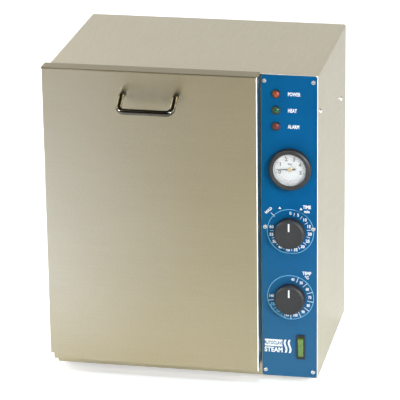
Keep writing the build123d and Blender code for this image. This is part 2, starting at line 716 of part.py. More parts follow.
GAUGE_PIPE_Y = VESSEL_BACK + 20.0
with BuildPart() as gauge_pipe:
    with BuildLine() as gauge_route:
        FilletPolyline(
            (GAUGE_PORT_X, VESSEL_BACK + 6, GAUGE_PORT_Z),
            (GAUGE_PORT_X, GAUGE_PIPE_Y, GAUGE_PORT_Z),
            (CONTROL_X, GAUGE_PIPE_Y, GAUGE_Z),
            (CONTROL_X, FRONT + 30, GAUGE_Z),
            radius=10,
        )
    with BuildSketch(Plane(gauge_route.line @ 0, z_dir=gauge_route.line % 0)):
        Circle(2)
    sweep()
save(gauge_pipe, "gauge_pipe")

CAPILLARY_Y = VESSEL_BACK + 14.0
with BuildPart() as thermostat_capillary:
    with BuildLine() as capillary_route:
        FilletPolyline(
            (CONTROL_X, FRONT + 26, THERMOSTAT_Z),
            (CONTROL_X, CAPILLARY_Y, THERMOSTAT_Z),
            (CHAMBER_X + 70, CAPILLARY_Y, CHAMBER_Z),
            (CHAMBER_X + 70, VESSEL_BACK, CHAMBER_Z),
            radius=8,
        )
    with BuildSketch(Plane(capillary_route.line @ 0, z_dir=capillary_route.line % 0)):
        Circle(1.5)
    sweep()
save(thermostat_capillary, "thermostat_capillary")

with BuildPart() as heater_relay:
    box_between(
        LEFT + 215, LEFT + 262, FRONT + 90, FRONT + 150, BOTTOM + SHEET, BOTTOM + 45,
    )
    box_between(
        LEFT + 221, LEFT + 256, FRONT + 96, FRONT + 144, BOTTOM + 45, BOTTOM + 52,
    )
save(heater_relay, "heater_relay")

with BuildPart() as mains_inlet:
    with BuildSketch(facing(BACK)):
        with Locations((INLET_X, INLET_Z)):
            RectangleRounded(48, 23, 4)
    extrude(amount=-2.4)
    box_between(
        INLET_X - 13.7, INLET_X + 13.7, BACK - 22, BACK, INLET_Z - 10, INLET_Z + 10,
    )
    with BuildSketch(facing(BACK + 2.4)):
        with Locations((INLET_X, INLET_Z)):
            RectangleRounded(24.5, 16.5, 2)
    extrude(amount=16.4, mode=Mode.SUBTRACT)
    for x, z in ((INLET_X - 7, INLET_Z - 1.8), (INLET_X, INLET_Z + 1.8), (INLET_X + 7, INLET_Z - 1.8)):
        box_between(x - 1, x + 1, BACK - 15, BACK - 1, z - 1.8, z + 1.8)
save(mains_inlet, "mains_inlet")

with BuildPart() as fuse_holders:
    for x in FUSE_X:
        with BuildSketch(turned(x, FUSE_Z)):
            with BuildLine():
                Polyline(
                    (0, BACK - 24), (6, BACK - 24), (6, BACK), (8, BACK), (8, BACK + 1.5),
                    (6.4, BACK + 1.5), (6.0, BACK + 9), (0, BACK + 9), close=True,
                )
            make_face()
        revolve(axis=front_axis(x, FUSE_Z))
save(fuse_holders, "fuse_holders")

# ================================================================ hinge and lock on the case
with BuildPart() as hinge_brackets:
    for x, inward in ((EAR_X[0], 1), (EAR_X[1], -1)):
        with BuildSketch(Plane.YZ.offset(x)):
            with Locations((HINGE_Y, HINGE_Z)):
                Circle(6)
            with Locations(((HINGE_Y + FRONT + 3.5) / 2, HINGE_Z)):
                Rectangle(FRONT + 3.5 - HINGE_Y, 12)
            with Locations((HINGE_Y, HINGE_Z)):
                Circle(PIN_R, mode=Mode.SUBTRACT)
        extrude(amount=EAR_T)
        pad_from = x + EAR_T if inward > 0 else x - 20
        box_between(
            pad_from, pad_from + 20, FRONT + FRAME_SHEET, FRONT + 3.5, HINGE_Z - 10, HINGE_Z + 20,
        )
save(hinge_brackets, "hinge_brackets")

with BuildPart() as hinge_pins:
    for x, outward in ((EAR_X[0] + EAR_T, -1), (EAR_X[1], 1)):
        with Locations(Plane(origin=(x, HINGE_Y, HINGE_Z), z_dir=(outward, 0, 0))):
            Cylinder(PIN_R, PIN_L, align=(Align.CENTER, Align.CENTER, Align.MIN))
            Cylinder(PIN_R + 1.5, 1.5, align=(Align.CENTER, Align.CENTER, Align.MAX))
save(hinge_pins, "hinge_pins")

SOLENOID_FRONT = FRONT + 22.0
with BuildPart() as lock_solenoid:
    box_between(
        LOCK_X - 16, LOCK_X + 16, SOLENOID_FRONT, SOLENOID_FRONT + 40, LOCK_Z - 15, LOCK_Z + 15,
    )
    box_between(
        LOCK_X - 20, LOCK_X + 20, FRONT + FRAME_SHEET, SOLENOID_FRONT + 40, LOCK_Z - 17, LOCK_Z - 15,
    )
    box_between(
        LOCK_X - 20, LOCK_X + 20, FRONT + FRAME_SHEET, FRONT + 3.5, LOCK_Z - 34, LOCK_Z - 17,
    )
    with BuildSketch(facing(SOLENOID_FRONT)):
        with Locations((LOCK_X, LOCK_Z)):
            Circle(LOCK_BOLT_R + RUNNING)
    extrude(amount=-32, mode=Mode.SUBTRACT)
save(lock_solenoid, "lock_solenoid")

with BuildPart() as lock_bolt:
    with BuildSketch(facing(FRONT + 42)):
        with Locations((LOCK_X, LOCK_Z)):
            Circle(LOCK_BOLT_R)
    extrude(amount=41.5)
    chamfer(lock_bolt.edges().sort_by(Axis.Y)[0], 0.8)
save(lock_bolt, "lock_bolt")

# ================================================================ door
with BuildPart() as door_skin:
    box_between(DOOR_LEFT, DOOR_RIGHT, DOOR_FRONT, DOOR_BACK, DOOR_BOTTOM, DOOR_TOP)
    fillet(door_skin.edges().group_by(Axis.Y)[0], DOOR_EDGE)
    box_between(
        DOOR_LEFT + DOOR_SHEET, DOOR_RIGHT - DOOR_SHEET, DOOR_FRONT + DOOR_SHEET, DOOR_BACK,
        DOOR_BOTTOM + DOOR_SHEET, DOOR_TOP - DOOR_SHEET, mode=Mode.SUBTRACT,
    )
    box_between(
        DOOR_LEFT, DOOR_LEFT + NOTCH_W, DOOR_FRONT, DOOR_BACK, DOOR_BOTTOM, DOOR_BOTTOM + NOTCH_H,
        mode=Mode.SUBTRACT,
    )
    box_between(
        DOOR_RIGHT - DOOR_SHEET, DOOR_RIGHT, DOOR_FRONT + DOOR_SHEET, DOOR_BACK,
        DOOR_BOTTOM, DOOR_BOTTOM + NOTCH_H, mode=Mode.SUBTRACT,
    )
    box_between(
        DOOR_LEFT, DOOR_RIGHT, FRONT - 9.5, DOOR_BACK, DOOR_BOTTOM, DOOR_BOTTOM + DOOR_SHEET,
        mode=Mode.SUBTRACT,
    )
    for x in EAR_X:
        box_between(
            x - 3, x + EAR_T + 3, DOOR_FRONT + DOOR_SHEET, DOOR_BACK,
            DOOR_BOTTOM, DOOR_BOTTOM + DOOR_SHEET, mode=Mode.SUBTRACT,
        )
    return_back = LINER_BACK - LINER_T
    for x0 in (DOOR_LEFT + DOOR_SHEET, DOOR_RIGHT - DOOR_SHEET - 9):
        box_between(
            x0, x0 + 9, return_back - DOOR_SHEET, return_back, LINER_BOTTOM, DOOR_TOP - DOOR_SHEET,
        )
    box_between(
        DOOR_LEFT + DOOR_SHEET, DOOR_RIGHT - DOOR_SHEET, return_back - DOOR_SHEET, return_back,
        DOOR_TOP - DOOR_SHEET - 9, DOOR_TOP - DOOR_SHEET,
    )
    with BuildSketch(facing(DOOR_FRONT)):
        with Locations((HANDLE_X, HANDLE_Z)):
            with GridLocations(HANDLE_SPAN, 0, 2, 1):
                Circle(2.4)
    extrude(amount=-3, mode=Mode.SUBTRACT)
save(door_skin, "door_skin")

with BuildPart() as door_liner:
    liner_w = DOOR_W - 2 * DOOR_SHEET - 0.2
    liner_h = DOOR_TOP - DOOR_SHEET - 0.1 - LINER_BOTTOM
    with BuildSketch(facing(LINER_BACK)):
        with Locations((DOOR_X, LINER_BOTTOM + liner_h / 2)):
            Rectangle(liner_w, liner_h)
        with Locations((CHAMBER_X, CHAMBER_Z)):
            Circle(PLATE_R + 3, mode=Mode.SUBTRACT)
        with Locations((LOCK_X, LOCK_Z)):
            Circle(LOCK_BOLT_R + 0.6, mode=Mode.SUBTRACT)
    extrude(amount=LINER_T)
save(door_liner, "door_liner")

BEAM_FRONT = FRONT - 20.0
with BuildPart() as door_beam:
    box_between(
        DOOR_LEFT + DOOR_SHEET, DOOR_RIGHT - DOOR_SHEET, BEAM_FRONT, FRONT - 12,
        CHAMBER_Z - 22, CHAMBER_Z + 22,
    )
    box_between(
        DOOR_LEFT + DOOR_SHEET, DOOR_RIGHT - DOOR_SHEET, BEAM_FRONT + 3, FRONT - 12,
        CHAMBER_Z - 19, CHAMBER_Z + 19, mode=Mode.SUBTRACT,
    )
    with BuildSketch(facing(BEAM_FRONT)):
        with Locations((CHAMBER_X, CHAMBER_Z)):
            Circle(8)
    extrude(amount=-3, mode=Mode.SUBTRACT)
save(door_beam, "door_beam")

with BuildPart() as pressure_plate:
    with BuildSketch(turned(CHAMBER_X, CHAMBER_Z)):
        with BuildLine():
            Polyline(
                (0, FRONT - 23), (8, FRONT - 23), (8, FRONT - 17), (14, FRONT - 17), (14, FRONT - 9),
                (30, FRONT - 7), (PLATE_R, FRONT - 7), (PLATE_R, FRONT - 1), (GASKET_OUT, FRONT - 1),
                (GASKET_OUT, FRONT - 4), (GASKET_IN, FRONT - 4), (GASKET_IN, FRONT - 1),
                (GASKET_IN - 8, FRONT - 1), (GASKET_IN - 12, FRONT - 2), (0, FRONT - 2), close=True,
            )
        make_face()
    revolve(axis=front_axis(CHAMBER_X, CHAMBER_Z))
save(pressure_plate, "pressure_plate")

with BuildPart() as plate_nut:
    with BuildSketch(facing(BEAM_FRONT)):
        with Locations((CHAMBER_X, CHAMBER_Z)):
            RegularPolygon(13, 6)
            Circle(8, mode=Mode.SUBTRACT)
    extrude(amount=4.5)
save(plate_nut, "plate_nut")

with BuildPart() as door_gasket:
    with BuildSketch(turned(CHAMBER_X, CHAMBER_Z)):
        with BuildLine():
            Polyline(
                (GASKET_OUT, FRONT), (GASKET_OUT, FRONT - 4), (GASKET_IN, FRONT - 4), (GASKET_IN, FRONT),
            )
            ThreePointArc(
                (GASKET_IN, FRONT), ((GASKET_IN + GASKET_OUT) / 2, FRONT + 1.2), (GASKET_OUT, FRONT),
            )
        make_face()
    revolve(axis=front_axis(CHAMBER_X, CHAMBER_Z))
save(door_gasket, "door_gasket")

PAD_BACK = FRONT - 12.5
with BuildPart() as door_insulation:
    for z0, z1 in ((LINER_BOTTOM, CHAMBER_Z - 24), (CHAMBER_Z + 24, DOOR_TOP - 3)):
        box_between(DOOR_LEFT + 2, DOOR_RIGHT - 2, DOOR_FRONT + DOOR_SHEET, PAD_BACK, z0, z1)
    with BuildSketch(facing(DOOR_FRONT)):
        with Locations((HANDLE_X, HANDLE_Z)):
            with GridLocations(HANDLE_SPAN, 0, 2, 1):
                Circle(7)
    extrude(amount=-20, mode=Mode.SUBTRACT)
save(door_insulation, "door_insulation")

with BuildPart() as door_handle:
    neck_y = DOOR_FRONT - HANDLE_NECK
    bar_y = DOOR_FRONT - HANDLE_REACH
    bar_z = HANDLE_Z - HANDLE_DROP
    half = HANDLE_SPAN / 2
    with BuildLine() as handle_route:
        FilletPolyline(
            (HANDLE_X - half, DOOR_FRONT, HANDLE_Z),
            (HANDLE_X - half, neck_y, HANDLE_Z),
            (HANDLE_X - half, bar_y, bar_z),
            (HANDLE_X + half, bar_y, bar_z),
            (HANDLE_X + half, neck_y, HANDLE_Z),
            (HANDLE_X + half, DOOR_FRONT, HANDLE_Z),
            radius=HANDLE_BEND,
        )
    with BuildSketch(facing(DOOR_FRONT)):
        with Locations((HANDLE_X - half, HANDLE_Z)):
            Circle(HANDLE_R)
    sweep()
    with BuildSketch(facing(DOOR_FRONT)):
        with Locations((HANDLE_X, HANDLE_Z)):
            with GridLocations(HANDLE_SPAN, 0, 2, 1):
                Circle(2.4)
    extrude(amount=8.2, mode=Mode.SUBTRACT)
save(door_handle, "door_handle")

with BuildPart() as handle_screws:
    for x in (HANDLE_X - HANDLE_SPAN / 2, HANDLE_X + HANDLE_SPAN / 2):
        screw(x, DOOR_FRONT + DOOR_SHEET, HANDLE_Z, (0, 1, 0), 4.5, 3.0, 2.4, 9.0)
save(handle_screws, "handle_screws")

with BuildPart() as hinge_blocks:
    for x0, x1 in (
        (DOOR_LEFT + DOOR_SHEET, EAR_X[0] - 0.2),
        (EAR_X[1] + EAR_T + 0.2, DOOR_RIGHT - DOOR_SHEET),
    ):
        box_between(
            x0, x1, DOOR_FRONT + DOOR_SHEET, FRONT - 10, DOOR_BOTTOM + NOTCH_H, HINGE_Z + 8,
        )
        with BuildSketch(Plane.YZ.offset(x0)):
            with Locations((HINGE_Y, HINGE_Z)):
                Circle(PIN_R + RUNNING)
        extrude(amount=x1 - x0, mode=Mode.SUBTRACT)
save(hinge_blocks, "hinge_blocks")

with BuildPart() as lock_strike:
    with BuildSketch(facing(LINER_BACK - LINER_T)):
        with Locations((LOCK_X, LOCK_Z)):
            RectangleRounded(30, 26, 3)
            Circle(LOCK_BOLT_R + 0.6, mode=Mode.SUBTRACT)
    extrude(amount=3)
save(lock_strike, "lock_strike")
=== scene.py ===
"""Benchtop autoclave: finishes, printed scales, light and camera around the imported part.

Lengths are metres, +Z is up and the door faces -Y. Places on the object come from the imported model.
"""
import json
import math
import bmesh
import bpy
from mathutils import Matrix, Vector


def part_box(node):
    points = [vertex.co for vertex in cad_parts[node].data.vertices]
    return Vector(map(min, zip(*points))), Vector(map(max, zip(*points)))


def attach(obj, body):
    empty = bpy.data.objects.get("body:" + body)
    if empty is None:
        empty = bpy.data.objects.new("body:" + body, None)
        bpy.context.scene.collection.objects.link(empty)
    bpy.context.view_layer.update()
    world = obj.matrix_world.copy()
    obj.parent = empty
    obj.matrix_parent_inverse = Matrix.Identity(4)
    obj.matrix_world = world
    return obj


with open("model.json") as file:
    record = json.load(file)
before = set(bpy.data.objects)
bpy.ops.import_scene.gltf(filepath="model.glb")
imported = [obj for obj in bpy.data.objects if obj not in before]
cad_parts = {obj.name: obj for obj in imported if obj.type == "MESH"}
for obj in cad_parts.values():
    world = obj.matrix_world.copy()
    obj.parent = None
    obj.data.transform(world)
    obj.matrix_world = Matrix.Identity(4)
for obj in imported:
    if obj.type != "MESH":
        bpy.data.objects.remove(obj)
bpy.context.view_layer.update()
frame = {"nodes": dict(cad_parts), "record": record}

scene = bpy.context.scene
scene.view_settings.view_transform = "Standard"

CASE_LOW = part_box("outer_cover")[0]
PANEL_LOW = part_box("control_panel")[0]
PANEL_Y = PANEL_LOW.y


def face_centre(node):
    """The middle of a node seen from the front: its x and z."""
    low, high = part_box(node)
    centre = (low + high) / 2
    return centre.x, centre.z


def feed(tree, socket, value):
    """Drive a socket by another node's output, or set it to a plain colour or number."""
    if isinstance(value, bpy.types.NodeSocket):
        tree.links.new(value, socket)
    elif isinstance(value, tuple):
        socket.default_value = (*value, 1.0)
    else:
        socket.default_value = value


# ---------------------------------------------------------------- materials
LOOKS = {}


class Finish:
    """A Principled material with its own object-space noise, variation and bump, kept in LOOKS."""

    def __init__(self, name, **values):
        material = LOOKS[name] = bpy.data.materials.new(name)
        material.use_nodes = True
        self.tree = material.node_tree
        self.shader = self.tree.nodes["Principled BSDF"]
        self.place = self.node("ShaderNodeTexCoord").outputs["Object"]
        for key, value in values.items():
            self.set(key.replace("_", " "), value)

    def node(self, kind, **settings):
        """A new node of that kind."""
        made = self.tree.nodes.new(kind)
        for key, value in settings.items():
            setattr(made, key, value)
        return made

    def link(self, source, target):
        self.tree.links.new(source, target)

    def set(self, name, value):
        """Give one of the shader's inputs its value or its source."""
        socket = next(s for s in self.shader.inputs if s.name.lower() == name.lower())
        feed(self.tree, socket, value)

    def noise(self, scale, detail=3.0, stretch=(1.0, 1.0, 1.0)):
        """Noise from 0 to 1, scale per metre, stretched per axis."""
        mapping = self.node("ShaderNodeMapping")
        mapping.inputs["Scale"].default_value = stretch
        self.link(self.place, mapping.inputs["Vector"])
        texture = self.node("ShaderNodeTexNoise")
        texture.inputs["Scale"].default_value = scale
        texture.inputs["Detail"].default_value = detail
        self.link(mapping.outputs["Vector"], texture.inputs["Vector"])
        return texture.outputs["Fac"]

    def part(self, vector, axis):
        """The X, Y or Z of a vector."""
        parts = self.node("ShaderNodeSeparateXYZ")
        self.link(vector, parts.inputs[0])
        return parts.outputs[axis]

    def between(self, amount, low, high, start=0.3, stop=0.7):
        """A number that runs from low to high while amount runs from start to stop."""
        span = self.node("ShaderNodeMapRange")
        self.link(amount, span.inputs["Value"])
        for key, value in (("From Min", start), ("From Max", stop), ("To Min", low), ("To Max", high)):
            span.inputs[key].default_value = value
        return span.outputs["Result"]

    def blend(self, amount, one, other):
        """Colour one where amount is 0, colour other where it is 1."""
        mix = self.node("ShaderNodeMix", data_type="RGBA")
        self.link(amount, mix.inputs["Factor"])
        feed(self.tree, mix.inputs[6], one)
        feed(self.tree, mix.inputs[7], other)
        return mix.outputs[2]

    def rounding(self, axis):
        """1 where an edge is rounding over toward that axis of the object, 0 on flat faces."""
        normal = self.node("ShaderNodeTexCoord").outputs["Normal"]
        size = self.node("ShaderNodeMath", operation="ABSOLUTE")
        self.link(self.part(normal, axis), size.inputs[0])
        band = self.node("ShaderNodeMath", operation="MULTIPLY")
        self.link(self.between(size.outputs[0], 0.0, 1.0, 0.15, 0.35), band.inputs[0])
        self.link(self.between(size.outputs[0], 1.0, 0.0, 0.90, 0.98), band.inputs[1])
        return band.outputs[0]

    def bump(self, height, depth, strength):
        """Relief of that depth in metres."""
        relief = self.node("ShaderNodeBump")
        relief.inputs["Strength"].default_value = strength
        relief.inputs["Distance"].default_value = depth
        self.link(height, relief.inputs["Height"])
        self.set("Normal", relief.outputs["Normal"])


# Painted highlight for the rounded edges of brushed sheet.
EDGE_HIGHLIGHT = (0.94, 0.93, 0.90)
# Painted shade for the recesses of metal.
RECESS_SHADE = (0.02, 0.02, 0.02)


def darker(colour, share):
    """The colour at that share of its brightness."""
    return tuple(share * c for c in colour)


def along(grain, across):
    """The scale of noise on each axis: 1 along the grain, across over it."""
    return tuple(1.0 if g == 1 else across for g in grain)


def brushed(name, dark, light, roughness, grain, highlight_axis):
    """Brushed sheet: hair-fine lines along the grain, with reflections smeared across them.

    Its edges get a painted highlight where they round over toward the axis given last.
    """
    finish = Finish(name, Metallic=1.0, Anisotropic=0.75)
    hair = finish.noise(22.0, 4.0, along(grain, 60.0))
    streak = finish.noise(5.0, 3.0, along(grain, 14.0))
    cloud = finish.noise(4.5, 2.0)
    speckle = finish.noise(620.0, 1.0, along(grain, 1.6))
    tone = finish.blend(finish.between(streak, 0.42, 0.58), dark, light)
    tone = finish.blend(finish.between(hair, 0.0, 0.15), tone, darker(dark, 0.72))
    tone = finish.blend(finish.between(speckle, 0.0, 0.60), tone, darker(dark, 0.76))
    tone = finish.blend(finish.between(cloud, 0.0, 0.30), tone, light)
    # Rounded edges turning toward the given axis get a painted highlight.
    finish.set("Base Color", finish.blend(finish.rounding(highlight_axis), tone, EDGE_HIGHLIGHT))
    finish.set("Roughness", finish.between(hair, roughness - 0.04, roughness + 0.05))
    smear = finish.node("ShaderNodeVectorMath", operation="CROSS_PRODUCT")
    finish.link(finish.node("ShaderNodeNewGeometry").outputs["Normal"], smear.inputs[0])
    smear.inputs[1].default_value = grain
    unit = finish.node("ShaderNodeVectorMath", operation="NORMALIZE")
    finish.link(smear.outputs[0], unit.inputs[0])
    finish.set("Tangent", unit.outputs[0])
    finish.bump(hair, 0.00002, 0.5)


def metal(name, dark, light, low, high, grit=420.0, cavity=None):
    """Plain metal: mottled tone, roughness from low to high, and fine pitting.

    Its recesses get painted shade where they are narrower than cavity, if that is given.
    """
    finish = Finish(name, Metallic=1.0)
    tone = finish.blend(finish.between(finish.noise(60.0), 0.0, 1.0), dark, light)
    if cavity:
        # Painted shade: recesses narrower than cavity are darkened by ambient occlusion.
        depth = finish.node("ShaderNodeAmbientOcclusion", samples=8)
        depth.inputs["Distance"].default_value = cavity
        tone = finish.blend(finish.between(depth.outputs["AO"], 0.0, 1.0, 0.45, 0.80), RECESS_SHADE, tone)
    finish.set("Base Color", tone)
    finish.set("Roughness", finish.between(finish.noise(grit / 3, 4.0), low, high))
    finish.bump(finish.noise(grit, 2.0), 0.00001, 0.4)


def moulded(name, dark, light, low, high, grain=900.0, depth=0.00003, glow=None):
    """A matt surface other than metal: faint mottling, a fine grain, and a white glow if given."""
    finish = Finish(name)
    finish.set("Base Color", finish.blend(finish.between(finish.noise(35.0), 0.0, 1.0), dark, light))
    finish.set("Roughness", finish.between(finish.noise(grain / 6), low, high))
    finish.bump(finish.noise(grain, 2.0), depth, 0.5)
    if glow:
        finish.set("Emission Color", (1.0, 1.0, 1.0))
        finish.set("Emission Strength", glow)


def painted(name, dark, light, lower_sheen, start, stop):
    """Satin sheet paint with a painted sheen, a painted reflection, that tints it a little below height stop
    and fully below height start.
    """
    finish = Finish(name, Specular_IOR_Level=0.05)
    tone = finish.blend(finish.between(finish.noise(35.0), 0.0, 1.0), dark, light)
    # Painted reflection: below height stop the paint is tinted lighter, as a sheen.
    above_sheen = finish.between(finish.part(finish.place, "Z"), 0.0, 1.0, start, stop)
    finish.set("Base Color", finish.blend(above_sheen, lower_sheen, tone))
    finish.set("Roughness", finish.between(finish.noise(230.0), 0.42, 0.55))
    finish.bump(finish.noise(1400.0, 2.0), 0.00003, 0.5)


def lit(name, dark, bright, strength):
    """A tinted lens with a lamp behind it, ribbed inside."""
    finish = Finish(name, Roughness=0.16, IOR=1.49, Coat_Weight=0.25)
    ribs = finish.noise(650.0, 2.0)
    tone = finish.blend(finish.between(ribs, 0.0, 1.0), dark, bright)
    finish.set("Base Color", tone)
    finish.set("Emission Color", tone)
    finish.set("Emission Strength", strength)
    finish.bump(ribs, 0.00008, 0.5)


def glazing(name):
    """Clear cover glass: nearly all light passes, with a sharp reflection."""
    finish = Finish(name, IOR=1.5, Alpha=0.10)
    finish.set("Base Color", finish.blend(finish.noise(40.0), (0.90, 0.94, 0.94), (1.0, 1.0, 1.0)))
    finish.set("Roughness", finish.between(finish.noise(120.0), 0.02, 0.06))
    finish.bump(finish.noise(90.0), 0.00001, 0.2)


# The grain runs along the 1. The 0.001 gives faces square to the grain a smear too.
# The last argument is the axis whose rounded edges get a painted highlight.
brushed("door_steel", (0.415, 0.354, 0.222), (0.475, 0.412, 0.278), 0.36, (1, 0.001, 0), "X")
brushed("cover_steel", (0.42, 0.368, 0.242), (0.46, 0.406, 0.278), 0.34, (0.001, 1, 0), "Y")
metal("inner_steel", (0.50, 0.49, 0.46), (0.62, 0.61, 0.58), 0.28, 0.42)
metal("polished_steel", (0.66, 0.65, 0.63), (0.76, 0.75, 0.73), 0.12, 0.24)
metal("chrome", (0.070, 0.064, 0.050), (0.096, 0.088, 0.070), 0.05, 0.11)
# The zinc screw heads get painted shade in their recesses.
metal("zinc", (0.78, 0.78, 0.76), (0.92, 0.92, 0.89), 0.20, 0.34, grit=700.0, cavity=0.0015)
metal("brass", (0.62, 0.44, 0.17), (0.76, 0.57, 0.26), 0.20, 0.36)
metal("copper_pipe", (0.62, 0.30, 0.17), (0.76, 0.42, 0.27), 0.22, 0.40)
# The panel gets a painted sheen, lighter toward its foot.
painted("panel_blue", (0.0005, 0.094, 0.250), (0.001, 0.106, 0.275), lower_sheen=(0.031, 0.128, 0.252),
        start=PANEL_LOW.z + 0.03, stop=PANEL_LOW.z + 0.25)
moulded("black_plastic", (0.010, 0.010, 0.010), (0.019, 0.018, 0.017), 0.42, 0.56)
moulded("grey_plastic", (0.20, 0.21, 0.22), (0.27, 0.28, 0.29), 0.40, 0.55)
moulded("rubber", (0.010, 0.010, 0.010), (0.020, 0.020, 0.020), 0.62, 0.80)
moulded("silicone", (0.50, 0.14, 0.09), (0.60, 0.19, 0.12), 0.40, 0.55)
moulded("wool", (0.55, 0.50, 0.38), (0.75, 0.71, 0.60), 0.85, 0.95, grain=500.0, depth=0.0008)
moulded("dial_white", (0.80, 0.80, 0.78), (0.88, 0.88, 0.86), 0.35, 0.48)
lit("lamp_amber", (0.20, 0.022, 0.008), (0.36, 0.075, 0.030), 0.08)
lit("lamp_green", (0.001, 0.045, 0.016), (0.003, 0.125, 0.045), 0.10)
lit("lamp_red", (0.11, 0.004, 0.010), (0.19, 0.010, 0.022), 0.06)
lit("switch_green", (0.075, 0.155, 0.016), (0.160, 0.290, 0.055), 0.13)
moulded("print_white", (0.78, 0.82, 0.86), (0.90, 0.93, 0.95), 0.45, 0.60)
moulded("print_blue", (0.16, 0.50, 0.78), (0.24, 0.60, 0.86), 0.45, 0.60)
moulded("print_black", (0.015, 0.014, 0.014), (0.030, 0.028, 0.027), 0.45, 0.60)
glazing("glass")

for entry in frame["record"]["subparts"]:
    materials = frame["nodes"][entry["node"]].data.materials
    materials.clear()
    materials.append(LOOKS[entry["material_slot"]])


# ---------------------------------------------------------------- mesh pieces
PRINT = 0.00010     # how far print stands out from its face
SUNK = PRINT / 5    # how far it reaches in behind the face
CAPITAL = 0.69      # height of a capital, as a share of the font's size


def piece(name, mesh, look, body):
    """A finished piece that rides on a body and takes its finish from a record slot."""
    bmesh.ops.remove_doubles(mesh, verts=mesh.verts[:], dist=1e-7)
    bmesh.ops.recalc_face_normals(mesh, faces=mesh.faces[:])
    data = bpy.data.meshes.new(name)
    mesh.to_mesh(data)
    mesh.free()
    made = bpy.data.objects.new(name, data)
    scene.collection.objects.link(made)
    data.materials.append(LOOKS[look])
    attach(made, body)


def flat(mesh, outline, face_y, rise=PRINT):
    """A polygon in the X-Z plane, raised off a front face at face_y as a thin closed slab."""
    face = mesh.faces.new([mesh.verts.new((x, face_y + SUNK, z)) for x, z in outline])
    grown = bmesh.ops.extrude_face_region(mesh, geom=[face])["geom"]
    moved = [g for g in grown if isinstance(g, bmesh.types.BMVert)]
    bmesh.ops.translate(mesh, verts=moved, vec=(0, -rise - SUNK, 0))


def clock(centre, radius, degrees):
    """The point at that clock angle, 0 at the top and clockwise from the front."""
    angle = math.radians(degrees)
    return centre[0] + radius * math.sin(angle), centre[1] + radius * math.cos(angle)


def arc(mesh, centre, radius, width, start, stop, face_y):
    """A raised band along a circle in steps of about 3 degrees, closed when it runs all the way round."""
    steps = max(2, round(abs(stop - start) / 3))
    whole = abs(stop - start) >= 360
    sections = []
    for i in range(steps if whole else steps + 1):
        angle = start + (stop - start) * i / steps
        corners = []
        for side, y in ((-0.5, SUNK), (0.5, SUNK), (0.5, -PRINT), (-0.5, -PRINT)):
            x, z = clock(centre, radius + side * width, angle)
            corners.append(mesh.verts.new((x, face_y + y, z)))
        sections.append(corners)
    for i in range(steps):
        a, b = sections[i], sections[(i + 1) % len(sections)]
        for k in range(4):
            mesh.faces.new((a[k], a[(k + 1) % 4], b[(k + 1) % 4], b[k]))
    if not whole:
        mesh.faces.new(sections[0])
        mesh.faces.new(sections[-1])


def bar(mesh, start, stop, width, face_y, rise=PRINT):
    """A raised stroke from start to stop in the X-Z plane."""
    (x0, z0), (x1, z1) = start, stop
    run = math.hypot(x1 - x0, z1 - z0)
    dx, dz = -(z1 - z0) / run / 2 * width, (x1 - x0) / run / 2 * width
    outline = [(x0 + dx, z0 + dz), (x1 + dx, z1 + dz), (x1 - dx, z1 - dz), (x0 - dx, z0 - dz)]
    flat(mesh, outline, face_y, rise)


def words(mesh, text, x, z, height, face_y, turn=0.0, weight=0.0003, wide=1.0, align="CENTER"):
    """Raised lettering that faces -Y, capitals of that height, placed by its middle or LEFT end.

    The letters are made bold by a bevel of that weight, which is then pressed flat.
    """
    curve = bpy.data.curves.new("lettering", "FONT")
    curve.body, curve.size, curve.align_x = text, height / CAPITAL, align
    curve.extrude, curve.bevel_depth, curve.bevel_resolution = PRINT / 10, weight, 0
    curve.resolution_u, curve.space_character = 4, 1.05
    letters = bpy.data.objects.new("lettering", curve)
    scene.collection.objects.link(letters)
    bpy.context.view_layer.update()
    evaluated = letters.evaluated_get(bpy.context.evaluated_depsgraph_get())
    data = bpy.data.meshes.new_from_object(evaluated)
    press = (PRINT + SUNK) / (2 * (weight + PRINT / 10))
    shape = Matrix.Translation((0, -height / 2, 0)) @ Matrix.Diagonal((wide, 1, press, 1))
    stand = Matrix.Rotation(math.pi / 2, 4, "X") @ Matrix.Rotation(-math.radians(turn), 4, "Z")
    data.transform(Matrix.Translation((x, face_y - (PRINT - SUNK) / 2, z)) @ stand @ shape)
    mesh.from_mesh(data)
    bpy.data.objects.remove(letters)
    bpy.data.curves.remove(curve)
    bpy.data.meshes.remove(data)


def lathe(mesh, centre, profile, steps=48):
    """A solid turned about the Y axis through centre.

    The profile is (radius, y) points, and it starts and ends on the axis.
    """
    rows = []
    for radius, y in profile:
        if radius == 0:
            rows.append([mesh.verts.new((centre[0], y, centre[1]))] * steps)
        else:
            circle = [clock(centre, radius, 360 * i / steps) for i in range(steps)]
            rows.append([mesh.verts.new((x, y, z)) for x, z in circle])
    for low, high in zip(rows, rows[1:]):
        for i in range(steps):
            j = (i + 1) % steps
            mesh.faces.new(list(dict.fromkeys((low[i], low[j], high[j], high[i]))))


# ---------------------------------------------------------------- lamp captions
CAPTION_X = PANEL_LOW.x + 0.0358
LAMP_CAPTIONS = {"heating_lamp_lens": "POWER", "ready_lamp_lens": "HEAT", "fault_lamp_lens": "ALARM"}

captions = bmesh.new()
for lamp_lens, word in LAMP_CAPTIONS.items():
    lamp_z = face_centre(lamp_lens)[1]
    words(captions, word, CAPTION_X, lamp_z, 0.0047, PANEL_Y, wide=0.68, align="LEFT")
piece("lamp_captions", captions, "print_white", "case")

